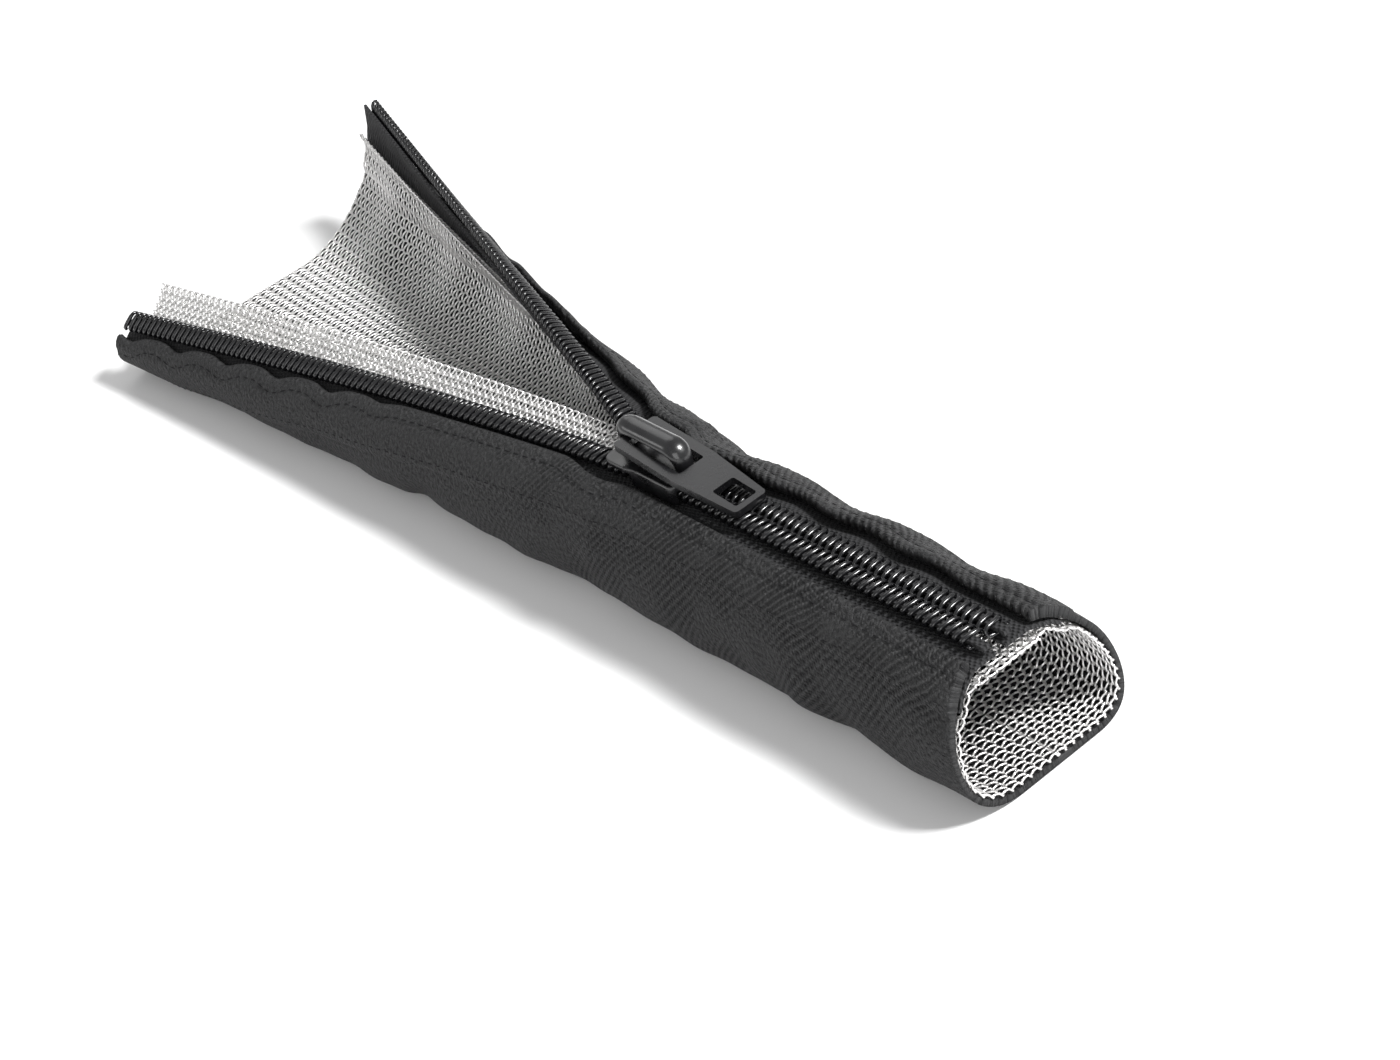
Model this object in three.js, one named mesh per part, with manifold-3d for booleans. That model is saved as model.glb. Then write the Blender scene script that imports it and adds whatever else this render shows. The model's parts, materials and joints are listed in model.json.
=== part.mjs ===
// A zippered cable sleeve: a black textile jacket lined with knitted wire mesh, closed along its
// top by a coil zipper. It lies on its flat underside, zipped up towards +X and splayed open towards -X.
// Millimetres, +Z up. The origin is on the resting plane, below the zip line, at mid length.
import * as THREE from 'three';
import { mergeVertices } from 'three/addons/utils/BufferGeometryUtils.js';
import Module from 'manifold-3d';

const wasm = await Module();
wasm.setup();

// Overall form
const sleeveLength = 200;
const zippedLength = 68;
const zipHeight = 19.6;
const endSlant = 4;
const slantRun = 25;

// Sheets
const jacketThickness = 0.9;
const hemThickness = 1.5;
const hemWidth = 6.5;
const linerThickness = 0.5;
const tapeThickness = 0.5;
const tapeWidth = 11;
const linerDrop = 0.4;
const overlapWidth = 6.5;
const knitRidge = 0.12;
const clearance = 0.3;

// Coil zipper
const toothPitch = 1.4;
const coilWidth = 3.3;
const coilHeight = 1.9;
const wireThickness = 0.5;
const toothOverlap = 0.4;
const cordWidth = 1.2;
const tapeSetback = 0.9;

// Hems, puckered by the stitching
const nearHemSetback = 4.8;
const farHemSetback = 5.4;
const puckerPitch = 14;
const nearPucker = 0.5;
const farPucker = 1.1;
const puckerLift = 0.5;

// Slider and pull
const sliderLength = 15.4;
const sliderLead = 7.2;
const wingThickness = 1;
const flangeThickness = 0.8;
const sliderWidth = 9.8;
const flangeLead = 1.5;
const wedgeWidth = 1.2;
const bridgeWidth = 3.6;
const bridgeThickness = 1.5;
const bridgeOverhang = 0.9;
const bridgeRise = 3.1;
const pullLength = 24.5;
const pullThickness = 1.1;
const pullWidth = 8;
const pullTipWidth = 5.8;
const armWidth = 1.7;
const slotLength = 12;
const windowWidth = 3.9;
const windowLength = 5;
const windowMargin = 1;

// Facets
const stationStep = 3.5;
const wedgeStations = 4;
const wallFacets = 7;
const curveFacets = 24;

const closedEnd = sleeveLength / 2;
const openEnd = -sleeveLength / 2;
const partingX = closedEnd - zippedLength;
const mouthX = partingX - sliderLead - 1;
const openLength = mouthX - openEnd;
const halfGap = clearance / 2;

// Heights above the zip plane, which lies between the tape and the hem that covers it
const tapeTop = -halfGap;
const tapeBottom = tapeTop - tapeThickness;
const coilBottom = halfGap;
const coilTop = coilBottom + coilHeight;
const lowerWingTop = tapeBottom - clearance;
const lowerWingBottom = lowerWingTop - wingThickness;
const upperWingBottom = coilTop + clearance;
const upperWingTop = upperWingBottom + wingThickness;
const flapTop = lowerWingBottom - clearance;

// The two halves of a cross-section run from the zip line, round the side, to the middle of the floor.
// closed is the shape of the zipped length and open is the shape at the open end.
const nearHalf = {
  side: -1,
  hemSetback: nearHemSetback, pucker: nearPucker,
  foldDepth: 0.5, foldPitch: 31, foldAt: 20,
  spread: 12.6, spreadPower: 1.3, rise: -9.6, risePower: 1.15,
  turn: { closed: 0, open: 38 },
  topHandle: { closed: 4.5, open: 2 },
  floorHandle: { closed: 15, open: 8.5 },
  floorEdge: { closed: -4, open: -10 },
};
const farHalf = {
  side: 1,
  hemSetback: farHemSetback, pucker: farPucker,
  foldDepth: 0.9, foldPitch: 24, foldAt: 35,
  spread: 39.6, spreadPower: 1.0, rise: 3.6, risePower: 1.0,
  turn: { closed: 0, open: 100 },
  topHandle: { closed: 9, open: 9 },
  floorHandle: { closed: 13, open: 9 },
  floorEdge: { closed: 9.5, open: 18 },
};
const floorMiddle = { closed: 2.5, open: 2 };
const flatWidth = nearHemSetback - 0.1;
const wedgeRun = 6.5;
const partedOffset = wedgeWidth / 2 + toothOverlap + clearance;

const mix = (pair, t) => THREE.MathUtils.lerp(pair.closed, pair.open, t);

// How far the sleeve has opened at x: 0 as far as the slider's mouth, 1 at the open end.
function opening(x) {
  return Math.max(0, (mouthX - x) / openLength);
}

// The zip edge of one half at x, as y and z.
function edgePoint(half, x) {
  const t = opening(x);
  const parted = partedOffset * THREE.MathUtils.smoothstep(partingX - x, 0, wedgeRun);
  const y = half.side * (parted + half.spread * t ** half.spreadPower);
  return new THREE.Vector2(y, zipHeight + half.rise * t ** half.risePower);
}

// The path of one half at x, with its own arc length measured from the zip edge.
function halfPath(half, x) {
  const t = opening(x);
  const eased = THREE.MathUtils.smoothstep(t, 0, 1);
  const turn = THREE.MathUtils.degToRad(mix(half.turn, t ** 0.85));
  const away = new THREE.Vector2(half.side * Math.cos(turn), -Math.sin(turn));
  const edge = edgePoint(half, x);
  const flatEnd = edge.clone().addScaledVector(away, flatWidth);
  const floorZ = jacketThickness + halfGap;
  const floorEdge = new THREE.Vector2(mix(half.floorEdge, eased), floorZ);
  const path = new THREE.CurvePath();
  path.add(new THREE.LineCurve(edge, flatEnd));
  path.add(new THREE.CubicBezierCurve(
    flatEnd,
    flatEnd.clone().addScaledVector(away, mix(half.topHandle, eased)),
    new THREE.Vector2(floorEdge.x + half.side * mix(half.floorHandle, eased), floorZ),
    floorEdge,
  ));
  path.add(new THREE.LineCurve(floorEdge, new THREE.Vector2(mix(floorMiddle, eased), floorZ)));
  return path;
}

// The closed end was cut on a slant, so that its underside runs on past its top.
function slant(x, z) {
  return endSlant * (1 - z / zipHeight) * THREE.MathUtils.smoothstep(x, closedEnd - slantRun, closedEnd);
}

// How far a soft fold draws the wall in, at arc distance s from the zip edge. The zip and the floor stay flat.
function foldDepth(half, path, x, s) {
  const [flat, wall] = path.curves.map((curve) => curve.getLength());
  const off = THREE.MathUtils.smoothstep(s, flat + 2, tapeWidth);
  const on = 1 - THREE.MathUtils.smoothstep(s, flat + 0.55 * wall, flat + 0.9 * wall);
  const wave = 0.5 + 0.5 * Math.cos((2 * Math.PI * (x - half.foldAt)) / half.foldPitch);
  return half.foldDepth * off * on * wave ** 1.5;
}

// The outward normal of a half's path, given its tangent.
function outward(half, tangent) {
  return new THREE.Vector2(tangent.y, -tangent.x).multiplyScalar(-half.side);
}

// The point at arc distance s from the zip edge, lifted off the path by a height.
function pointOn(half, path, x, s, height) {
  const t = THREE.MathUtils.clamp(s / path.getLength(), 0, 1);
  const tangent = path.getTangent(t);
  const rise = height - foldDepth(half, path, x, s);
  const point = path.getPoint(t).addScaledVector(outward(half, tangent), rise);
  if (s < 0) point.addScaledVector(tangent, s);
  return new THREE.Vector3(x + slant(x, point.y), point.x, point.y);
}

// Where one half's hem ends, and its middle.
const hemEnd = (half) => half.hemSetback + half.pucker + hemWidth;
const hemMiddle = (half) => (half.hemSetback + hemEnd(half)) / 2;

// Arc distances that follow the side wall from the hem and end at the floor's middle.
function wallColumns(half, path) {
  const from = hemEnd(half);
  const count = wallFacets;
  const [flat, wall, floor] = path.curves.map((curve) => curve.getLength());
  const columns = [];
  for (let i = 1; i <= count; i += 1) {
    columns.push(from + ((flat + wall - from) * i) / count);
  }
  columns.push(flat + wall + floor);
  return columns;
}

// A closed solid from rows of outer and inner points, one pair of rows at each station.
function sheetSolid(rows) {
  const count = rows[0].outer.length;
  const positions = [];
  rows.forEach(({ outer, inner }) => [...outer, ...inner].forEach((p) => positions.push(p.x, p.y, p.z)));
  const index = [];
  const quad = (a, b, c, d) => index.push(a, b, c, a, c, d);
  const ring = [];
  for (let i = 0; i < count; i += 1) ring.push(i);
  for (let i = count - 1; i >= 0; i -= 1) ring.push(count + i);
  const stride = 2 * count;
  for (let k = 0; k + 1 < rows.length; k += 1) {
    ring.forEach((a, i) => {
      const b = ring[(i + 1) % ring.length];
      quad(k * stride + a, k * stride + b, (k + 1) * stride + b, (k + 1) * stride + a);
    });
  }
  const last = (rows.length - 1) * stride;
  for (let i = 0; i + 1 < count; i += 1) {
    quad(i, count + i, count + i + 1, i + 1);
    quad(last + i, last + i + 1, last + count + i + 1, last + count + i);
  }
  return facingOut(positions, index);
}

// A geometry whose triangles face out, whichever way round they were made.
function facingOut(positions, index) {
  const corner = (i) => new THREE.Vector3().fromArray(positions, 3 * i);
  let volume = 0;
  for (let i = 0; i < index.length; i += 3) {
    volume += corner(index[i]).dot(corner(index[i + 1]).cross(corner(index[i + 2])));
  }
  const geometry = new THREE.BufferGeometry();
  geometry.setAttribute('position', new THREE.Float32BufferAttribute(positions, 3));
  geometry.setIndex(volume < 0 ? index.reverse() : index);
  return geometry;
}

// Positions along the sleeve, closer together where the zip parts.
function stations(step) {
  const spans = [[openEnd, partingX - wedgeRun, step], [partingX - wedgeRun, partingX, wedgeRun / wedgeStations],
    [partingX, closedEnd, step]];
  const list = [openEnd];
  spans.forEach(([from, to, stride]) => {
    const count = Math.round((to - from) / stride);
    for (let i = 1; i <= count; i += 1) list.push(from + ((to - from) * i) / count);
  });
  return list;
}

// The hem's free edge waves in and out between the stitches, and lifts where it waves in.
function pucker(half, x) {
  return 0.5 - 0.5 * Math.cos((2 * Math.PI * x) / puckerPitch + half.side * 0.6);
}

function hemColumns(half, x) {
  const wave = pucker(half, x);
  const edge = half.hemSetback + half.pucker * (1 - wave);
  const end = hemEnd(half);
  const lift = half.side > 0 ? puckerLift * wave : 0;
  return [
    { s: edge, bottom: halfGap + lift, top: hemThickness + halfGap + lift },
    { s: hemMiddle(half), bottom: halfGap, top: hemThickness + halfGap },
    { s: end - hemThickness + jacketThickness, bottom: halfGap, top: hemThickness + halfGap },
    { s: end, bottom: halfGap, top: jacketThickness + halfGap },
  ];
}

function jacket() {
  const rows = stations(stationStep).map((x) => {
    const outer = [];
    const inner = [];
    [nearHalf, farHalf].forEach((half) => {
      const path = halfPath(half, x);
      const hem = hemColumns(half, x);
      const wall = wallColumns(half, path)
        .map((s) => ({ s, bottom: halfGap, top: jacketThickness + halfGap }));
      const columns = [...hem, ...wall];
      if (half === farHalf) columns.pop();
      const halfOuter = columns.map(({ s, top }) => pointOn(half, path, x, s, top));
      const halfInner = columns.map(({ s, bottom }) => pointOn(half, path, x, s, bottom));
      if (half === farHalf) {
        halfOuter.reverse();
        halfInner.reverse();
      }
      outer.push(...halfOuter);
      inner.push(...halfInner);
    });
    return { outer, inner };
  });
  return sheetSolid(rows);
}

// The liner's height under the jacket: it dives below the tape and the slider's lower wing.
function linerTop(s) {
  const underTape = tapeBottom - linerDrop;
  const free = THREE.MathUtils.smoothstep(s, farHemSetback, farHemSetback + 3);
  const clearOfTape = THREE.MathUtils.smoothstep(s, tapeWidth + clearance, tapeWidth + 3);
  const nearZip = THREE.MathUtils.lerp(flapTop, underTape, free);
  return THREE.MathUtils.lerp(nearZip, -halfGap, clearOfTape);
}

// The overlap flap: the liner's near edge runs on under the zip, and stands free where the sleeve is open.
function flapPoint(path, x, reach, top) {
  const freed = THREE.MathUtils.smoothstep(partingX - x, wedgeRun, 3 * wedgeRun);
  const farPath = halfPath(farHalf, x);
  const zipped = pointOn(farHalf, farPath, x, reach, top);
  const edge = pointOn(nearHalf, path, x, 0, top);
  const along = path.getTangent(0).negate();
  const lean = outward(nearHalf, path.getTangent(0));
  const free = edge.clone();
  free.y += along.x * reach + lean.x * 0.02 * reach ** 2;
  free.z += along.y * reach + lean.y * 0.02 * reach ** 2;
  return zipped.lerp(free, freed);
}

function liner() {
  const rows = stations(stationStep).map((x, i) => {
    const nearPath = halfPath(nearHalf, x);
    const farPath = halfPath(farHalf, x);
    const row = (drop) => [
      ...[overlapWidth, overlapWidth / 2].map((reach) => flapPoint(nearPath, x, reach, flapTop - drop)),
      ...[0, farHemSetback, farHemSetback + 3, tapeWidth + clearance].map(
        (s) => pointOn(nearHalf, nearPath, x, s, linerTop(s) - drop)),
      ...wallColumns(nearHalf, nearPath).map((s) => pointOn(nearHalf, nearPath, x, s, -halfGap - drop)),
      ...wallColumns(farHalf, farPath).slice(0, -1).reverse()
        .map((s) => pointOn(farHalf, farPath, x, s, -halfGap - drop)),
      ...[tapeWidth + clearance, farHemSetback + 3].map(
        (s) => pointOn(farHalf, farPath, x, s, linerTop(s) - drop)),
      pointOn(farHalf, farPath, x, farHemSetback, tapeBottom - linerDrop - drop),
    ];
    return { outer: row(0), inner: row(linerThickness + knitRidge * (i % 2)) };
  });
  return sheetSolid(rows);
}

function tape(half) {
  const rows = stations(stationStep).map((x) => {
    const path = halfPath(half, x);
    const columns = [tapeSetback, nearHemSetback, hemMiddle(half), tapeWidth];
    return {
      outer: columns.map((s) => pointOn(half, path, x, s, tapeTop)),
      inner: columns.map((s) => pointOn(half, path, x, s, tapeBottom)),
    };
  });
  return sheetSolid(rows);
}

// One turn of wire for each tooth: along the tape, out to the tooth's head, and back over the filler cord.
function coil(half, phase) {
  const count = Math.floor((sleeveLength - 2 * toothPitch) / toothPitch);
  const positions = [];
  for (let k = 0; k < count; k += 1) {
    const x = openEnd + toothPitch * (k + 1 + phase);
    const path = halfPath(half, x);
    const corners = [
      [coilWidth, coilBottom], [-toothOverlap, coilBottom], [-toothOverlap, coilTop], [coilWidth, coilTop]];
    corners.forEach(([s, z]) => {
      const inS = s > 0 ? s - wireThickness : s + wireThickness;
      const inZ = z > coilBottom ? z - wireThickness : z + wireThickness;
      const outer = pointOn(half, path, x, s, z);
      const inner = pointOn(half, path, x, inS, inZ);
      positions.push(outer.x, outer.y, outer.z);
      positions.push(inner.x - wireThickness / 2, inner.y, inner.z);
      positions.push(inner.x + wireThickness / 2, inner.y, inner.z);
    });
  }
  const rings = positions.length / 9;
  const index = [0, 1, 2];
  for (let r = 0; r + 1 < rings; r += 1) {
    for (let i = 0; i < 3; i += 1) {
      const a = 3 * r + i;
      const b = 3 * r + ((i + 1) % 3);
      index.push(a, a + 3, b, b, a + 3, b + 3);
    }
  }
  const last = 3 * (rings - 1);
  index.push(last, last + 2, last + 1);
  return facingOut(positions, index);
}

// The cord that the coil is wound round and that the tape's stitches hold.
function fillerCord(half) {
  const middle = coilWidth - wireThickness - clearance - cordWidth / 2;
  const floor = coilBottom + wireThickness + clearance / 2;
  const ceiling = coilTop - wireThickness - clearance / 2;
  const rows = stations(stationStep).map((x) => {
    const path = halfPath(half, x);
    const columns = [middle - cordWidth / 2, middle + cordWidth / 2];
    return {
      outer: columns.map((s) => pointOn(half, path, x, s, ceiling)),
      inner: columns.map((s) => pointOn(half, path, x, s, floor)),
    };
  });
  return sheetSolid(rows);
}

// Solids for the slider, made in its own frame: x from where the zip parts, z from the zip plane.
const { CrossSection } = wasm;

function prism(points, bottom, top, rounding = 0) {
  let outline = CrossSection.ofPolygons([points]);
  if (rounding) {
    outline = outline.offset(-rounding, 'Round', 2, curveFacets).offset(rounding, 'Round', 2, curveFacets);
  }
  return outline.extrude(top - bottom).translate([0, 0, bottom]);
}

// A solid from an outline in x and z, centred on y.
function sideways(outline, width) {
  return outline.extrude(width).translate([0, 0, -width / 2]).rotate([90, 0, 0]);
}

function asGeometry(solid) {
  const { vertProperties, triVerts } = solid.getMesh();
  const geometry = new THREE.BufferGeometry();
  geometry.setAttribute('position', new THREE.BufferAttribute(vertProperties, 3));
  geometry.setIndex(new THREE.BufferAttribute(triVerts, 1));
  return mergeVertices(geometry, 1e-4);
}

const bodyOpen = -sliderLead;
const bodyClosed = sliderLength - sliderLead;
const partedBy = (x) => partedOffset * THREE.MathUtils.smoothstep(-x, 0, wedgeRun);
const coilSide = (x) => partedBy(x) + coilWidth + clearance;
const wedgeTip = -wedgeRun * 0.62;

// Points on both sides of the slider's axis, at half-widths given by a function of x.
function mirrored(from, to, halfWidth) {
  const steps = 10;
  const xs = Array.from({ length: steps + 1 }, (_, i) => from + ((to - from) * i) / steps);
  return [...xs.map((x) => [x, -halfWidth(x)]), ...xs.reverse().map((x) => [x, halfWidth(x)])];
}

function sliderBody() {
  const wing = mirrored(bodyOpen, bodyClosed, (x) => Math.min(coilSide(x) + flangeThickness, sliderWidth / 2));
  const channel = mirrored(-flangeLead, bodyClosed + 1, coilSide);
  const mouth = [[bodyOpen - 1, -sliderWidth], [-flangeLead, -sliderWidth], [-flangeLead, sliderWidth],
    [bodyOpen - 1, sliderWidth]];
  const wedge = mirrored(bodyOpen + 0.1, wedgeTip, (x) => partedBy(x) - toothOverlap - clearance);
  const lower = prism(wing, lowerWingBottom, lowerWingTop, 1.6);
  const upper = prism(wing, tapeTop + clearance, upperWingTop, 1.6)
    .subtract(prism(channel, tapeTop, upperWingBottom))
    .subtract(prism(mouth, tapeTop, upperWingBottom));
  const bridge = sideways(bridgeOutline().subtract(bridgeHollow()), bridgeWidth).intersect(crownProfile());
  return wasm.Manifold.union([
    lower, upper, bridge, prism(wedge, lowerWingBottom + 0.2, upperWingTop + 0.2)]);
}

const bridgeOpen = bodyOpen - bridgeOverhang;
const bridgeClosed = bodyClosed - 1;
const bridgeTop = upperWingTop + bridgeRise + bridgeThickness;
const bridgeRound = 2.2;
const crownRound = 1.4;

function bridgeOutline() {
  const foot = upperWingTop - wingThickness / 2;
  const box = [[bridgeOpen, foot], [bridgeClosed, foot], [bridgeClosed, bridgeTop], [bridgeOpen, bridgeTop]];
  const feet = [[bridgeOpen + 0.4, foot], [bridgeClosed, foot], [bridgeClosed, foot + 2.2], [bridgeOpen + 0.4, foot + 2.2]];
  return CrossSection.ofPolygons([box]).offset(-bridgeRound, 'Round', 2, curveFacets)
    .offset(bridgeRound, 'Round', 2, curveFacets).add(CrossSection.ofPolygons([feet]));
}

// The bridge's rounded top, seen along the sleeve.
function crownProfile() {
  const foot = upperWingTop - wingThickness;
  const half = bridgeWidth / 2;
  const box = [[foot - 3, -half], [bridgeTop, -half], [bridgeTop, half], [foot - 3, half]];
  const reach = sliderLength + 2 * bridgeOverhang;
  return CrossSection.ofPolygons([box]).offset(-crownRound, 'Round', 2, curveFacets)
    .offset(crownRound, 'Round', 2, curveFacets)
    .extrude(reach).rotate([0, -90, 0]).translate([bodyClosed + bridgeOverhang, 0, 0]);
}

function bridgeHollow() {
  const top = upperWingTop + bridgeRise;
  const start = bodyOpen + bridgeThickness;
  const end = bridgeClosed - bridgeThickness;
  return CrossSection.ofPolygons([[[start, upperWingTop], [end, upperWingTop], [end, top - 1.6], [end - 0.8, top - 1],
    [crossbarX + 2.4, top - 1], [crossbarX + 1.2, top], [start + 0.6, top], [start, top - 0.6]]]);
}

// The pull rests on the slider's closed end and, at its tip, on the teeth.
const crossbarX = bodyOpen + bridgeThickness + 3 * clearance + pullThickness * 0.7;
const restRun = pullLength - (bodyClosed - crossbarX);
const restDrop = upperWingTop - coilTop;
const pullPitch = Math.atan2(restDrop, restRun);
const crossbarZ = upperWingTop + clearance + pullThickness / 2 + (bodyClosed - crossbarX) * Math.tan(pullPitch);

function pullTab() {
  const start = -pullThickness * 0.65;
  const outline = [[start, -pullWidth / 2], [slotLength, -pullWidth / 2], [pullLength, -pullTipWidth / 2],
    [pullLength, pullTipWidth / 2], [slotLength, pullWidth / 2], [start, pullWidth / 2]];
  const slotHalf = pullWidth / 2 - armWidth;
  const slot = [[-start, -slotHalf], [slotLength, -slotHalf], [slotLength, slotHalf], [-start, slotHalf]];
  const windowEnd = pullLength - windowMargin;
  const windowStart = windowEnd - windowLength;
  const hole = [[windowStart, -windowWidth / 2], [windowEnd, -windowWidth / 2],
    [windowEnd, windowWidth / 2], [windowStart, windowWidth / 2]];
  const half = pullThickness / 2;
  return prism(outline, -half, half, 0.7)
    .subtract(prism(slot, -pullThickness, pullThickness, 0.3))
    .subtract(prism(hole, -pullThickness, pullThickness, 0.4))
    .rotate([0, THREE.MathUtils.radToDeg(pullPitch), 0])
    .translate([crossbarX, 0, crossbarZ]);
}

const atParting = (solid) => asGeometry(solid.translate([partingX, 0, zipHeight]));

const partColour = (colour, roughness, metalness = 0) => (
  new THREE.MeshStandardMaterial({ color: colour, roughness, metalness }));
const fabricBlack = () => partColour(0x2a2a2b, 0.85);
const tapeBlack = () => partColour(0x1c1c1d, 0.9);
const nylonBlack = () => partColour(0x232325, 0.4);
const wireSilver = () => partColour(0xc9c7c2, 0.35, 0.9);
const enamelBlack = () => partColour(0x101012, 0.2, 0.6);

const sleeve = new THREE.Group();
function addPart(name, geometry, material) {
  const mesh = new THREE.Mesh(geometry, material);
  mesh.name = name;
  sleeve.add(mesh);
  return mesh;
}

addPart('jacket', jacket(), fabricBlack());
addPart('mesh_liner', liner(), wireSilver());
addPart('tape_near', tape(nearHalf), tapeBlack());
addPart('tape_far', tape(farHalf), tapeBlack());
addPart('coil_near', coil(nearHalf, 0), nylonBlack());
addPart('coil_far', coil(farHalf, 0.5), nylonBlack());
addPart('cord_near', fillerCord(nearHalf), tapeBlack());
addPart('cord_far', fillerCord(farHalf), tapeBlack());
addPart('slider_body', atParting(sliderBody()), enamelBlack());
addPart('pull_tab', atParting(pullTab()), enamelBlack());

export default sleeve;
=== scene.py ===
import json
import math

import bmesh
import bpy
import numpy as np
from mathutils import Matrix, Vector

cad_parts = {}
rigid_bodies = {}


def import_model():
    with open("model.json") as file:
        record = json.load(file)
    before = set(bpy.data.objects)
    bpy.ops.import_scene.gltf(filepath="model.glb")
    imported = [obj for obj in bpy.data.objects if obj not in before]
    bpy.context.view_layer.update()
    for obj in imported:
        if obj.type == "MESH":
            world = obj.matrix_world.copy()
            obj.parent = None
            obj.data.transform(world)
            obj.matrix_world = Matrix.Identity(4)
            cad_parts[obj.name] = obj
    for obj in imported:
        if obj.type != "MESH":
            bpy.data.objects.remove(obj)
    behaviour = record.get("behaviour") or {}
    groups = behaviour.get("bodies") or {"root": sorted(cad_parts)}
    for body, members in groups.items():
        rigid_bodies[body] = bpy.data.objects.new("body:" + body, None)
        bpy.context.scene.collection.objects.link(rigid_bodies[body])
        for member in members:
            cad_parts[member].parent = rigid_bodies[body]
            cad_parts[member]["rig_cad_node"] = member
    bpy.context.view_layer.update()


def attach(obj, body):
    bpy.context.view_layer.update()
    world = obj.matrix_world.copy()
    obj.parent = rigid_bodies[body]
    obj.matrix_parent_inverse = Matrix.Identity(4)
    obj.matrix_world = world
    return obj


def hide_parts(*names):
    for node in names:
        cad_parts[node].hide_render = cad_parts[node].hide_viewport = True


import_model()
MM = 0.001

# The sleeve's form, as in the CAD part
LENGTH, ZIPPED, ZIP_HEIGHT = 200, 68, 19.6
END_SLANT, SLANT_RUN = 4, 25
JACKET, HEM, HEM_WIDTH, TAPE_WIDTH, LINER_DROP = 0.9, 1.5, 6.5, 11, 0.4
OVERLAP, CLEAR = 6.5, 0.3
PITCH, COIL_WIDTH, COIL_HEIGHT, TOOTH_OVERLAP = 1.4, 3.3, 1.9, 0.4
PUCKER_PITCH, PUCKER_LIFT = 14, 0.5
SLIDER_LEAD, MOUTH_MARGIN, WEDGE_WIDTH, WEDGE_RUN = 7.2, 1, 1.2, 6.5
TAPE, WING, END_MARGIN = 0.5, 1, 0.6
FLAT = 4.7  # how far each half runs straight from the zip edge
OPEN_END, CLOSED_END = -LENGTH / 2, LENGTH / 2
PARTING = CLOSED_END - ZIPPED
MOUTH = PARTING - SLIDER_LEAD - MOUTH_MARGIN
GAP = CLEAR / 2
PARTED = WEDGE_WIDTH / 2 + TOOTH_OVERLAP + CLEAR
COIL_LOW = GAP
TAPE_LOW = -GAP - TAPE
FLAP_TOP = TAPE_LOW - CLEAR - WING - CLEAR
FLOOR_Z = JACKET + GAP
NEAR_HEM, SCALLOP = (5.05, 3.75), 1.1

# The two halves. A pair is the value where the sleeve is zipped and the value at its open end, but
# fold is a depth, a pitch and a place along the sleeve. Turns are in degrees.
FLOOR_MIDDLE = (2.5, 2)
NEAR = dict(side=-1, setback=4.8, pucker=0.5, fold=(0.5, 31, 20), spread=12.6, spread_power=1.3, rise=-9.6,
            rise_power=1.15, turn=(0, 38), top=(4.5, 2), low=(15, 8.5), floor=(-4, -10))
FAR = dict(side=1, setback=5.4, pucker=1.1, fold=(0.9, 24, 35), spread=39.6, spread_power=1, rise=3.6,
           rise_power=1, turn=(0, 100), top=(9, 9), low=(13, 9), floor=(9.5, 18))


def smoothstep(v, lo, hi):
    t = np.clip((v - lo) / (hi - lo), 0, 1)
    return t * t * (3 - 2 * t)


def mix(pair, t):
    return pair[0] + (pair[1] - pair[0]) * t


def hem_edge(half, x):
    """How far the hem's free edge lies from the zip edge, and how much it waves at x."""
    wave = 0.5 - 0.5 * np.cos(2 * np.pi * x / PUCKER_PITCH + half["side"] * 0.6)
    if half is NEAR:
        opened = smoothstep(MOUTH - x, 0, 8)
        waving = smoothstep(MOUTH - x, 40, 60)
        return mix(NEAR_HEM, opened) + SCALLOP * waving * (1 - wave) ** 1.5, wave * waving
    neat = 1 - smoothstep(x, CLOSED_END - 22, CLOSED_END - 8)
    return half["setback"] + half["pucker"] * (1 - wave) * neat, wave * neat


def hem_end(half):
    return half["setback"] + half["pucker"] + HEM_WIDTH


TABLE_X = np.linspace(OPEN_END, CLOSED_END, 401)
TABLE_STEP = 0.25


def section_table(half):
    """The half's cross-sections at many places along the sleeve, sampled by distance from the zip edge."""
    side, rows = half["side"], []
    for x in TABLE_X:
        t = max(0, (MOUTH - x) / (MOUTH - OPEN_END))
        eased = smoothstep(t, 0, 1)
        turn = math.radians(mix(half["turn"], t ** 0.85))
        away = np.array([side * math.cos(turn), -math.sin(turn)])
        apart = PARTED * smoothstep(PARTING - x, 0, WEDGE_RUN)
        edge = np.array([side * (apart + half["spread"] * t ** half["spread_power"]),
                         ZIP_HEIGHT + half["rise"] * t ** half["rise_power"]])
        a = edge + away * FLAT
        b = a + away * mix(half["top"], eased)
        d = np.array([mix(half["floor"], eased), FLOOR_Z])
        c = np.array([d[0] + side * mix(half["low"], eased), FLOOR_Z])
        u = np.linspace(0, 1, 161)[:, None]
        curve = (1 - u) ** 3 * a + 3 * (1 - u) ** 2 * u * b + 3 * (1 - u) * u * u * c + u ** 3 * d
        line = np.vstack([edge, a, curve[1:], [mix(FLOOR_MIDDLE, eased), FLOOR_Z]])
        s = np.r_[0, np.cumsum(np.hypot(*np.diff(line, axis=0).T))]
        rows.append((s, line, s[-2]))
    count = int(max(r[0][-1] for r in rows) / TABLE_STEP) + 3
    at = np.arange(count) * TABLE_STEP
    y = np.array([np.interp(at, s, line[:, 0]) for s, line, _ in rows])
    z = np.array([np.interp(at, s, line[:, 1]) for s, line, _ in rows])
    ty, tz = np.gradient(y, axis=1), np.gradient(z, axis=1)
    ended = np.hypot(ty, tz) < 0.1 * TABLE_STEP
    ty, tz = np.where(ended, -side, ty), np.where(ended, 0, tz)
    size = np.hypot(ty, tz)
    grid = np.stack([y, z, -side * tz / size, side * ty / size], -1)
    return dict(grid=grid, total=np.array([r[0][-1] for r in rows]), wall=np.array([r[2] for r in rows]))


for half in (NEAR, FAR):
    half.update(section_table(half))


def along(half, key, x):
    return np.interp(x, TABLE_X, half[key])


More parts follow.
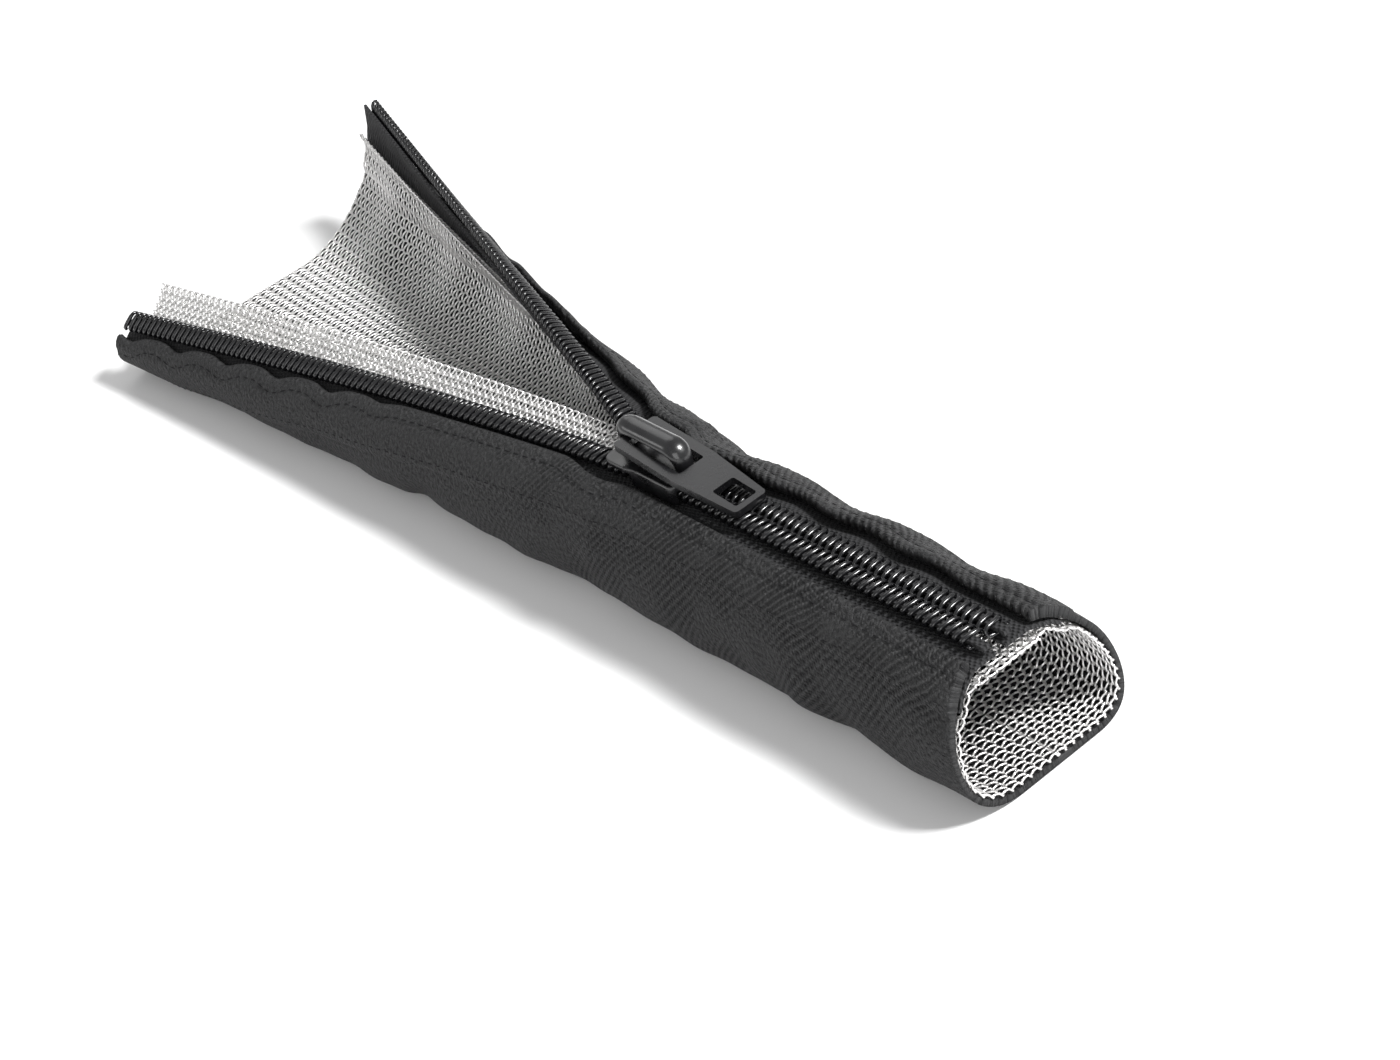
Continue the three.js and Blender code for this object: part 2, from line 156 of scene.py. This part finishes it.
def path_at(half, x, s):
    """Position on the path and its outward normal, each as y and z."""
    grid = half["grid"]
    fx = np.clip((x - OPEN_END) / (TABLE_X[1] - TABLE_X[0]), 0, len(TABLE_X) - 1.001)
    fs = np.clip(s / TABLE_STEP, 0, grid.shape[1] - 1.001)
    i, j = fx.astype(int), fs.astype(int)
    a, b = (fx - i)[..., None], (fs - j)[..., None]
    return ((grid[i, j] * (1 - a) + grid[i + 1, j] * a) * (1 - b)
            + (grid[i, j + 1] * (1 - a) + grid[i + 1, j + 1] * a) * b)


def fold(half, x, s):
    depth, pitch, at = half["fold"]
    flat, wall = FLAT, along(half, "wall", x) - FLAT
    off = smoothstep(s, flat + 2, TAPE_WIDTH)
    on = 1 - smoothstep(s, flat + 0.55 * wall, flat + 0.9 * wall)
    return depth * off * on * (0.5 + 0.5 * np.cos(2 * np.pi * (x - at) / pitch)) ** 1.5


def surface(half, x, s, height):
    """Points at distance s from the zip edge, lifted off the half's path by a height."""
    x, s, height = np.broadcast_arrays(np.asarray(x, float), np.asarray(s, float), np.asarray(height, float))
    p = path_at(half, x, s)
    n = p[..., 2:]
    out = p[..., :2] + n * (height - fold(half, x, s))[..., None]
    before = np.minimum(s, 0)[..., None]
    out = out + before * np.stack([half["side"] * n[..., 1], -half["side"] * n[..., 0]], -1)
    slant = END_SLANT * (1 - out[..., 1] / ZIP_HEIGHT) * smoothstep(x, CLOSED_END - SLANT_RUN, CLOSED_END)
    return np.stack([x + slant, out[..., 0], out[..., 1]], -1)


def normals(half, x, s):
    x, s = np.broadcast_arrays(np.asarray(x, float), np.asarray(s, float))
    n = path_at(half, x, s)[..., 2:]
    return np.stack([np.zeros_like(n[..., 0]), n[..., 0], n[..., 1]], -1)


# Meshes
def smooth(data):
    data.polygons.foreach_set("use_smooth", np.ones(len(data.polygons), bool))


def add_object(name, data):
    o = bpy.data.objects.new(name, data)
    bpy.context.scene.collection.objects.link(o)
    return o


def cad_piece(node):
    return next(o for o in bpy.context.scene.objects if o.get("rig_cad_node") == node)


def make_mesh(name, points, faces, look, uv=None):
    data = bpy.data.meshes.new(name)
    data.from_pydata((points.reshape(-1, 3) * MM).tolist(), [], faces)
    smooth(data)
    if uv is not None:
        layer = data.uv_layers.new(name="weave")
        corner = np.zeros(len(data.loops), int)
        data.loops.foreach_get("vertex_index", corner)
        layer.data.foreach_set("uv", np.asarray(uv, np.float32).reshape(-1, 2)[corner].ravel())
    data.materials.append(look)
    return add_object(name, data)


def shell(outer, inner):
    """Faces and points of a closed sheet, from grids of its outer and inner points."""
    rows, count = outer.shape[:2]
    points = np.concatenate([outer, inner[:, ::-1]], axis=1)
    ring = 2 * count
    a = np.arange(rows - 1)[:, None] * ring + np.arange(ring)
    b = np.arange(rows - 1)[:, None] * ring + (np.arange(ring) + 1) % ring
    sides = np.stack([a, a + ring, b + ring, b], -1).reshape(-1, 4)
    k = np.arange(count - 1)
    first = np.stack([k, k + 1, ring - 2 - k, ring - 1 - k], -1)
    last = first[:, ::-1] + (rows - 1) * ring
    return points, np.vstack([sides, first, last]).tolist()


def tubes(paths, ups, radius, sides, widen=1.0):
    """Faces and points of wires. Each row of paths is one wire, ups are across it, and widen flattens it."""
    wires, count = paths.shape[:2]
    t = np.gradient(paths, axis=1)
    t /= np.linalg.norm(t, axis=-1, keepdims=True)
    b = np.cross(t, ups)
    b /= np.linalg.norm(b, axis=-1, keepdims=True)
    n = np.cross(b, t)
    turn = np.arange(sides) * 2 * np.pi / sides
    high = np.broadcast_to(radius, (wires, count))[..., None, None]
    wide = high * np.broadcast_to(widen, (wires, count))[..., None, None]
    points = (paths[:, :, None] + b[:, :, None] * wide * np.cos(turn)[:, None]
              + n[:, :, None] * high * np.sin(turn)[:, None])
    base = (np.arange(wires)[:, None, None] * count + np.arange(count - 1)[:, None]) * sides
    i = np.arange(sides)
    j = (i + 1) % sides
    faces = np.stack([base + i, base + j, base + j + sides, base + i + sides], -1).reshape(-1, 4).tolist()
    for w in range(wires):
        first = w * count * sides
        faces.append([first + k for k in reversed(range(sides))])
        faces.append([first + (count - 1) * sides + k for k in range(sides)])
    return points, faces


def tubes_mesh(name, paths, ups, radius, sides, look, widen=1.0):
    points, faces = tubes(paths, ups, radius, sides, widen)
    return make_mesh(name, points, faces, look)


# Looks
def principled(name, colour, rough, metal=0.0, coat=0.0, shine=0.5):
    m = bpy.data.materials.new(name)
    m.use_nodes = True
    b = m.node_tree.nodes["Principled BSDF"]
    b.inputs["Base Color"].default_value = (*colour, 1)
    b.inputs["Roughness"].default_value = rough
    b.inputs["Metallic"].default_value = metal
    b.inputs["Specular IOR Level"].default_value = shine
    b.inputs["Coat Weight"].default_value = coat
    b.inputs["Coat Roughness"].default_value = 0.12
    return m


class Graph:
    """Short ways to add nodes to a material."""

    def __init__(self, m):
        self.tree = m.node_tree
        self.bsdf = m.node_tree.nodes["Principled BSDF"]

    def put(self, value, socket):
        if hasattr(value, "links"):
            self.tree.links.new(value, socket)
        else:
            socket.default_value = value

    def maths(self, operation, a, b=0.0):
        node = self.tree.nodes.new("ShaderNodeMath")
        node.operation = operation
        self.put(a, node.inputs[0])
        self.put(b, node.inputs[1])
        return node.outputs[0]

    def weave_place(self):
        """Distances along and across the cloth, in millimetres."""
        node = self.tree.nodes.new("ShaderNodeUVMap")
        node.uv_map = "weave"
        split = self.tree.nodes.new("ShaderNodeSeparateXYZ")
        self.tree.links.new(node.outputs[0], split.inputs[0])
        return node.outputs[0], split.outputs[0], split.outputs[1]

    def noise(self, vector, scale, detail=2.0):
        node = self.tree.nodes.new("ShaderNodeTexNoise")
        self.put(vector, node.inputs["Vector"])
        node.inputs["Scale"].default_value = scale
        node.inputs["Detail"].default_value = detail
        return node.outputs["Fac"]

    def wave(self, distance, pitch):
        return self.maths("SINE", self.maths("MULTIPLY", distance, 2 * math.pi / pitch))

    def bump(self, height, distance, strength=1.0):
        node = self.tree.nodes.new("ShaderNodeBump")
        node.inputs["Strength"].default_value = strength
        node.inputs["Distance"].default_value = distance
        self.put(height, node.inputs["Height"])
        self.put(node.outputs[0], self.bsdf.inputs["Normal"])

    def shade(self, height, dark, light, spread=1.0):
        """Base colour from dark where the height is low to light where it is high. Where the height is a
        relief, this is painted shade in the hollows and painted highlight on the ridges.
        """
        node = self.tree.nodes.new("ShaderNodeMapRange")
        node.inputs["From Min"].default_value = -spread
        node.inputs["From Max"].default_value = spread
        self.put(height, node.inputs["Value"])
        blend = self.tree.nodes.new("ShaderNodeMix")
        blend.data_type = "RGBA"
        self.tree.links.new(node.outputs[0], blend.inputs["Factor"])
        blend.inputs["A"].default_value = (*dark, 1)
        blend.inputs["B"].default_value = (*light, 1)
        self.tree.links.new(blend.outputs["Result"], self.bsdf.inputs["Base Color"])


def ribbed_cloth():
    """Black cloth with slanting ribs, which show more in some patches and less towards the open end. Its
    colour follows the ribs' and grain's height, as painted shade in the hollows and painted highlight on the
    ridges.
    """
    m = principled("coated_fabric", (0.02, 0.02, 0.021), 0.6, shine=0.3)
    g = Graph(m)
    place, u, v = g.weave_place()
    wander = g.maths("MULTIPLY", g.maths("SUBTRACT", g.noise(place, 0.06, 1.0), 0.5), 5.0)
    slanted = g.maths("ADD", g.maths("MULTIPLY", u, 0.72), g.maths("MULTIPLY", v, 0.69))
    slanted = g.maths("ADD", slanted, wander)
    ribs = g.wave(slanted, 1.0)
    cross = g.wave(g.maths("SUBTRACT", g.maths("MULTIPLY", v, 0.8), g.maths("MULTIPLY", u, 0.6)), 0.55)
    weave = g.maths("MULTIPLY", ribs, g.maths("ADD", 1.0, g.maths("MULTIPLY", cross, 0.35)))
    strong = g.maths("MULTIPLY", g.maths("SUBTRACT", g.noise(place, 0.075, 2.0), 0.4), 6.0)
    strong = g.maths("MULTIPLY", g.maths("MINIMUM", g.maths("MAXIMUM", strong, 0.1), 1.0), 1.8)
    zipped = g.maths("MULTIPLY", g.maths("ADD", u, 20.0), 0.02)
    strong = g.maths("MULTIPLY", strong, g.maths("MINIMUM", g.maths("MAXIMUM", zipped, 0.12), 1.0))
    grain = g.maths("MULTIPLY", g.maths("SUBTRACT", g.noise(place, 1.7, 4.0), 0.5), 7.0)
    height = g.maths("ADD", g.maths("MULTIPLY", weave, strong), grain)
    g.bump(height, 0.00024, 1.0)
    # painted shade in the hollows of the ribs and grain, and painted highlight on their ridges
    g.shade(height, (0.004, 0.004, 0.005), (0.046, 0.046, 0.047), 2.0)
    return m


def woven_tape(name):
    m = principled(name, (0.012, 0.012, 0.013), 0.9)
    g = Graph(m)
    coord = g.tree.nodes.new("ShaderNodeTexCoord").outputs["Object"]
    split = g.tree.nodes.new("ShaderNodeSeparateXYZ")
    g.tree.links.new(coord, split.inputs[0])
    warp = g.wave(g.maths("ADD", split.outputs[0], g.maths("MULTIPLY", split.outputs[1], 0.8)), 0.0009)
    weft = g.wave(g.maths("SUBTRACT", split.outputs[1], g.maths("MULTIPLY", split.outputs[0], 0.3)), 0.0006)
    height = g.maths("ADD", warp, weft)
    g.bump(height, 0.0001)
    # painted shade in the weave's hollows and painted highlight on its ridges
    g.shade(height, (0.006, 0.006, 0.007), (0.03, 0.03, 0.032), 2.0)
    return m


def worn_enamel():
    """Black enamel with faint orange peel, rubbed duller and paler in patches."""
    m = principled("black_enamel", (0.009, 0.009, 0.01), 0.27, coat=0.4)
    g = Graph(m)
    place = g.tree.nodes.new("ShaderNodeTexCoord").outputs["Object"]
    peel = g.noise(place, 2600, 2.0)
    patch = g.noise(place, 420, 3.0)
    g.bump(peel, 0.00002, 0.6)
    g.put(g.maths("ADD", 0.18, g.maths("MULTIPLY", patch, 0.22)), g.bsdf.inputs["Roughness"])
    g.shade(g.maths("SUBTRACT", patch, 0.5), (0.004, 0.004, 0.005), (0.012, 0.012, 0.013), 0.35)
    return m


cloth = ribbed_cloth()
tape_look = woven_tape("zip_tape")
cord_look = woven_tape("filler_cord")
wire = principled("wire_mesh", (0.88, 0.87, 0.86), 0.34, 0.85)
nylon = principled("coil_nylon", (0.006, 0.006, 0.007), 0.2, shine=0.65)
enamel = worn_enamel()
thread = principled("sewing_thread", (0.012, 0.012, 0.013), 0.8, shine=0.2)


# Jacket. The first row of stitches is set off from the hem's free edge and the second from its end.
STITCH, STITCH_SHARE, THREAD, STITCH_RISE, STITCH_ARCH = 2.1, 0.78, 0.12, 0.04, 0.2
ROW_ONE, ROW_TWO, ROW_ONE_DIP, ROW_TWO_DIP = 2.0, 1.3, 0.2, 0.08
HEM_COLUMNS, HEM_ROUND, SEAM_WIDTH, PUCKER_REACH = 15, 0.6, 0.4, 3.2
HEM_MEAN = 5.4  # how far a hem's free edge lies from the zip edge, on the average
SOFT_WAVE = 0.16

# Creases of the near wall: place along the sleeve, lean, depth and width
CREASES = ((76, 0.55, 0.75, 3.6), (66, 0.2, 0.4, 2.6), (-18, -0.9, 0.6, 3.0), (24, 0.8, 0.35, 4.0))


def pucker(half, wave, inset):
    """How far the far hem's waves lift it, at a distance in from its free edge."""
    return (PUCKER_LIFT if half is FAR else 0) * wave * (1 - smoothstep(inset, 0, PUCKER_REACH))


def hem_profile(half, x):
    """Places across the hem, and the heights of its upper and lower faces there."""
    edge, wave = hem_edge(half, x)
    end = hem_end(half)
    s = edge + (end - edge) * np.linspace(0, 1, HEM_COLUMNS)[None] ** 1.3
    inset = s - edge
    nose = np.sqrt(1 - (1 - np.clip(inset / HEM_ROUND, 0, 1)) ** 2)
    thick = JACKET + (HEM - JACKET) * (1 - smoothstep(s, end - JACKET, end))
    lifted = pucker(half, wave, inset)
    seam = ROW_ONE_DIP * np.exp(-((inset - ROW_ONE) / SEAM_WIDTH) ** 2)
    middle = GAP + lifted + HEM / 2
    top = middle + (GAP + lifted + thick - seam - middle) * nose
    low = middle + (GAP + lifted - middle) * nose
    return s, top, low


def jacket():
    """One sheet of cloth from the near hem's edge round to the far hem's, and its flat width."""
    x = np.linspace(OPEN_END, CLOSED_END, 285)[:, None]
    grids = []
    for half in (NEAR, FAR):
        hem_s, hem_top, hem_low = hem_profile(half, x)
        end, wall, total = hem_end(half), along(half, "wall", x), along(half, "total", x)
        wall_s = end + (wall - end) * np.linspace(0, 1, 41)[None, 1:]
        floor_s = wall + (total - wall) * np.linspace(0, 1, 4)[None, 1:]
        rest = np.concatenate([wall_s, floor_s], axis=1)
        free = smoothstep(rest, end, end + 5) * (1 - smoothstep(rest, wall - 8, wall - 2))
        soft = free * SOFT_WAVE * (np.sin(x * 0.31 + rest * 0.22) + np.sin(x * 0.17 - rest * 0.33 + 1.7)
                                   + 0.5 * np.sin(x * 0.6 + rest * 0.5 + half["side"]))
        crease = sum(d * np.exp(-((x - at - lean * (rest - 18)) / w) ** 2) for at, lean, d, w in CREASES)
        crease = crease * free * (half is NEAR)
        s = np.concatenate([hem_s, rest], axis=1)
        top = np.concatenate([hem_top, GAP + JACKET + soft - crease], axis=1)
        low = np.concatenate([hem_low, GAP + np.minimum(soft, 0) - crease], axis=1)
        sheet = surface(half, x, s, top), surface(half, x, s, low), np.stack([x + 0 * s, s], -1)
        grids.append([g[:, -2::-1] if half is FAR else g for g in sheet])
    outer, inner, weave = (np.concatenate(g, axis=1) for g in zip(*grids))
    points, faces = shell(outer, inner)
    o = make_mesh("jacket_cloth", points, faces, cloth, np.concatenate([weave, weave[:, ::-1]], axis=1))
    width = float(np.mean(along(NEAR, "total", x) + along(FAR, "total", x) - 2 * HEM_MEAN))
    return o, width


def stitching():
    """Running stitches along each hem: one row near the free edge and one where the hem ends."""
    paths, ups = [], []
    at = np.arange(OPEN_END + 1.5, CLOSED_END - 1.5, STITCH)[:, None]
    span = at + STITCH * np.linspace(0, STITCH_SHARE, 7)[None]
    arch = STITCH_ARCH * np.linspace(-1, 1, 7)[None] ** 2
    for half in (NEAR, FAR):
        edge, wave = hem_edge(half, span)
        rows = ((edge + ROW_ONE, GAP + HEM + pucker(half, wave, ROW_ONE) - ROW_ONE_DIP),
                (hem_end(half) - ROW_TWO, GAP + HEM - ROW_TWO_DIP))
        for s, base in rows:
            paths.append(surface(half, span, s, base + STITCH_RISE - arch))
            ups.append(normals(half, span, s))
    return tubes_mesh("stitching", np.concatenate(paths), np.concatenate(ups), THREAD, 5, thread)


# Coils
COIL_WIRE, COIL_BACK, TURN_STEPS = 0.33, 0.15, 14


def coil(name, half, phase):
    """One monofilament wound flat round its cord, a turn for each tooth."""
    turns = int((LENGTH - 2 * END_MARGIN) / PITCH) - 1
    phi = np.arange(turns * TURN_STEPS + 1) * 2 * np.pi / TURN_STEPS
    c, d = np.cos(phi), np.sin(phi)
    low, high = -TOOTH_OVERLAP + COIL_WIRE, COIL_WIDTH + COIL_BACK - COIL_WIRE
    s = (low + high) / 2 + (high - low) / 2 * np.sign(c) * np.abs(c) ** 0.62
    middle = COIL_LOW + COIL_HEIGHT / 2
    z = middle + (COIL_HEIGHT / 2 - COIL_WIRE) * np.sign(d) * np.abs(d) ** 0.75
    x = OPEN_END + END_MARGIN + PITCH * (phase + phi / (2 * np.pi) + 0.085 * np.sin(phi))
    head = 1 - smoothstep(s, 0.2, 1.0)
    path = surface(half, x, s, z)[None]
    ups = normals(half, x, s)[None] * d[None, :, None] + np.array([0, half["side"], 0]) * c[None, :, None]
    return tubes_mesh(name, path, ups + 1e-3, COIL_WIRE - 0.03 * head, 6, nylon, 1.2 - 0.2 * head)


# Knitted wire
COURSE, WALE, WIRE = 1.6, 1.6, 0.2
LOOP_REACH, LOOP_NECK, LOOP_DEPTH, LOOP_STEPS = 0.66 * COURSE, 0.24 * WALE, 0.15, 8
LINER_SINK, FLAP_SINK = 0.32, 0.3
KNIT_FROM, KNIT_TO = OPEN_END + END_MARGIN, CLOSED_END + 0.3


def wales():
    """Places along the sleeve of one course of loops, and each place's turn within its loop."""
    loops = int((KNIT_TO - KNIT_FROM) / WALE)
    t = np.arange(loops * LOOP_STEPS + 1) * 2 * np.pi / LOOP_STEPS
    x = KNIT_FROM + (KNIT_TO - KNIT_FROM) / loops * t / (2 * np.pi)
    return np.clip(x + LOOP_NECK * np.sin(2 * t), KNIT_FROM, KNIT_TO), t


def knit(half, start, part):
    """Courses of plain loops on one half, from a distance off the zip edge down to the floor's middle.
    A part says which share of the courses to make."""
    x, t = wales()
    total = along(half, "total", x)
    count = int(round(float(np.mean(total) - start) / COURSE))
    paths, ups = [], []
    for k in range(int(part[0] * count), int(part[1] * count)):
        s = start + (total - start) * (k + 0.5) / count + LOOP_REACH * np.cos(t)
        s = np.clip(s, start, total - 0.1)
        paths.append(surface(half, x, s, liner_height(s) + LOOP_DEPTH * np.cos(2 * t)))
        ups.append(normals(half, x, s))
    return np.array(paths), np.array(ups)


def liner_height(s):
    under = TAPE_LOW - LINER_DROP
    free = smoothstep(s, FAR["setback"], FAR["setback"] + 3)
    clear = smoothstep(s, TAPE_WIDTH + CLEAR, TAPE_WIDTH + 3)
    near_zip = FLAP_TOP + (under - FLAP_TOP) * free
    return near_zip + (-GAP - near_zip) * clear - LINER_SINK


def flap():
    """The liner's overlap flap, whose loops run on from the near zip edge and under the zip."""
    count = int(round(OVERLAP / COURSE)) + 1
    x, t = wales()
    freed = smoothstep(PARTING - x, WEDGE_RUN, 3 * WEDGE_RUN)[:, None]
    paths, ups = [], []
    for k in range(count):
        reach = OVERLAP * (k + 0.5) / count + LOOP_REACH * np.cos(t)
        reach = np.clip(reach, -COURSE, OVERLAP)
        lift = LOOP_DEPTH * np.cos(2 * t) - FLAP_SINK
        past_edge = np.minimum(reach, 0)[:, None] * [0, 1, 0]
        zipped = surface(FAR, x, np.maximum(reach, 0), FLAP_TOP + lift) + past_edge
        n = normals(NEAR, x, 0 * x)
        away = np.stack([0 * x, n[:, 2], -n[:, 1]], -1)
        edge = surface(NEAR, x, 0 * x, FLAP_TOP + lift)
        lean = 0.02 * np.maximum(reach, 0)[:, None] ** 2
        paths.append(zipped + (edge + away * reach[:, None] + n * lean - zipped) * freed)
        ups.append(n)
    return np.array(paths), np.array(ups)


def build_liner():
    half_way = ((0, 0.5), (0.5, 1))
    parts = [knit(NEAR, 0, part) for part in half_way]
    parts += [knit(FAR, FAR["setback"], part) for part in half_way]
    pieces = [tubes_mesh(f"liner_{i}", *part, WIRE, 4, wire) for i, part in enumerate(parts)]
    return pieces + [tubes_mesh("liner_flap", *flap(), WIRE, 5, wire)]


# Slider, in its own frame: x from where the zip parts and z from the zip's height
WING_TOP = COIL_LOW + COIL_HEIGHT + CLEAR + WING
BRIDGE_RISE, BRIDGE_THICK, BRIDGE_BEND, BRIDGE_ROOT = 3.1, 1.5, 2.3, WING_TOP - 0.5
POST_OPEN, POST_CLOSED, POST_WIDTH, CROWN_WIDTH = -6.9, 6.45, 1.5, 1.95
SAME_POINT, CUT_DEPTH, CAST_GRAIN, CAST_ROUNDING = 0.003, 0.03, 0.12, 12


def crown():
    """The domed bridge: one bar that rises from the open end, runs over the pull and comes down again."""
    middle, bend = WING_TOP + BRIDGE_RISE + BRIDGE_THICK / 2, BRIDGE_BEND
    turn = np.linspace(0, np.pi / 2, 9)
    up = [(POST_OPEN, z) for z in np.linspace(BRIDGE_ROOT, middle - bend, 5)[:-1]]
    over = [(POST_OPEN + bend - bend * math.cos(a), middle - bend + bend * math.sin(a)) for a in turn]
    level = [(x, middle) for x in np.linspace(POST_OPEN + bend, POST_CLOSED - bend, 12)[1:-1]]
    back = [(POST_CLOSED - bend + bend * math.sin(a), middle - bend + bend * math.cos(a)) for a in turn]
    down = [(POST_CLOSED, z) for z in np.linspace(middle - bend, BRIDGE_ROOT, 5)[1:]]
    line = np.array(up + over + level + back + down)
    tangent = np.gradient(line, axis=0)
    tangent /= np.linalg.norm(tangent, axis=1, keepdims=True)
    out = np.stack([-tangent[:, 1], tangent[:, 0]], -1)
    height = smoothstep(line[:, 1], WING_TOP, middle)
    width = POST_WIDTH + (CROWN_WIDTH - POST_WIDTH) * height
    opened = 1 - smoothstep(line[:, 0], POST_OPEN + 0.4, POST_OPEN + 2.6)
    thick = BRIDGE_THICK * (1 + 0.6 * opened)
    dome = np.linspace(0, np.pi, 17)
    rise = thick[:, None] * (np.sin(dome) ** 0.9 - 0.5)
    y = width[:, None] * np.cos(dome)
    x = line[:, :1] + out[:, :1] * rise
    z = line[:, 1:] + out[:, 1:] * rise
    return np.stack([x + PARTING, y, z + ZIP_HEIGHT], -1)


def casting():
    """The slider's body as cast: the CAD's wings and wedge, a domed bridge, and every edge rounded."""
    form = bmesh.new()
    form.from_mesh(cad_piece("slider_body").data)
    cut = Vector((0, 0, (ZIP_HEIGHT + WING_TOP - CUT_DEPTH) * MM))
    bmesh.ops.remove_doubles(form, verts=form.verts, dist=SAME_POINT * MM)
    everything = form.verts[:] + form.edges[:] + form.faces[:]
    bmesh.ops.bisect_plane(form, geom=everything, plane_co=cut, plane_no=(0, 0, 1), clear_outer=True)
    rim = [e for e in form.edges if e.is_boundary]
    bmesh.ops.triangle_fill(form, use_beauty=True, use_dissolve=False, edges=rim)
    made = [[form.verts.new(Vector(p) * MM) for p in ring] for ring in crown()]
    for one, two in zip(made, made[1:]):
        for i in range(len(one)):
            j = (i + 1) % len(one)
            form.faces.new((one[i], one[j], two[j], two[i]))
    form.faces.new(made[0])
    form.faces.new(made[-1][::-1])
    bmesh.ops.recalc_face_normals(form, faces=form.faces)
    data = bpy.data.meshes.new("slider_casting")
    form.to_mesh(data)
    form.free()
    body = add_object("slider_casting", data)
    fuse = body.modifiers.new("fuse", "REMESH")
    fuse.mode = "VOXEL"
    fuse.voxel_size = CAST_GRAIN * MM
    soften = body.modifiers.new("soften", "SMOOTH")
    soften.iterations = CAST_ROUNDING
    soften.factor = 0.5
    fused = bpy.data.meshes.new_from_object(body.evaluated_get(bpy.context.evaluated_depsgraph_get()))
    body.modifiers.clear()
    body.data = fused
    smooth(fused)
    fused.materials.clear()
    fused.materials.append(enamel)
    return body


cloth_piece, cloth_width = jacket()
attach(cloth_piece, "sleeve")
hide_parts("jacket")
stitches = stitching()
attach(stitches, "sleeve")

for name, half, phase in (("coil_near", NEAR, 0), ("coil_far", FAR, 0.5)):
    turns = coil(name + "_wire", half, phase)
    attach(turns, "sleeve")
    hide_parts(name)

liner_pieces = build_liner()
for piece in liner_pieces:
    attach(piece, "sleeve")
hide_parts("mesh_liner")

body = casting()
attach(body, "slider")
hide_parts("slider_body")

# The pieces that stay the CAD's own, and the rolled edges of the stamped pull
EDGE_ROLL, SHARP_EDGE = 0.38, math.radians(28)
looks = {"tape_near": tape_look, "tape_far": tape_look, "cord_near": cord_look, "cord_far": cord_look,
         "pull_tab": enamel}
for node, look in looks.items():
    shown = cad_piece(node).data
    shown.materials.clear()
    shown.materials.append(look)
pull = cad_piece("pull_tab")
soften = pull.modifiers.new("soften", "BEVEL")
soften.width = EDGE_ROLL * MM
soften.segments = 2
soften.limit_method = "ANGLE"
soften.angle_limit = SHARP_EDGE
soften.harden_normals = True
smooth(pull.data)

# Camera, fitted to the photograph
right = Vector((0.63187722, 0.74118138, -0.22667452))
up = Vector((-0.33311893, 0.52377046, 0.78402569))
back = Vector((0.69983066, -0.4198984, 0.57786017))
focus = Vector((0.052, 0, 0.0196))
place = focus - right * 0.007545 - up * 0.001235 + back * 0.422
cam = add_object("camera", bpy.data.cameras.new("camera"))
cam.matrix_world = Matrix((
    (right.x, up.x, back.x, place.x), (right.y, up.y, back.y, place.y),
    (right.z, up.z, back.z, place.z), (0, 0, 0, 1)))
cam.data.sensor_width = 36
cam.data.lens = 79.1
cam.data.clip_start = 0.01
bpy.context.scene.camera = cam

# Floor
bpy.ops.mesh.primitive_plane_add(size=6, location=(0, 0, -0.0002))
floor = bpy.context.object
floor.name = "floor"
floor.data.materials.append(principled("floor", (0.9, 0.9, 0.9), 0.9))


def lamp(name, place, size, power):
    light = bpy.data.lights.new(name, "AREA")
    light.size = size
    light.energy = power
    o = add_object(name, light)
    o.location = place
    o.rotation_euler = (-Vector(place)).to_track_quat("-Z", "Y").to_euler()


lamp("key", (0.5, 0.44, 0.78), 0.22, 15)
lamp("fill", (0.9, -0.7, 0.5), 0.8, 5)
lamp("back", (-0.77, 0.46, 0.64), 0.5, 0.9)
lamp("edge", (-0.84, -0.7, 0.5), 0.3, 0.9)
world = bpy.data.worlds.new("world")
bpy.context.scene.world = world
world.use_nodes = True
world.node_tree.nodes["Background"].inputs["Color"].default_value = (1, 1, 1, 1)
world.node_tree.nodes["Background"].inputs["Strength"].default_value = 0.42
bpy.context.scene.view_settings.view_transform = "Standard"
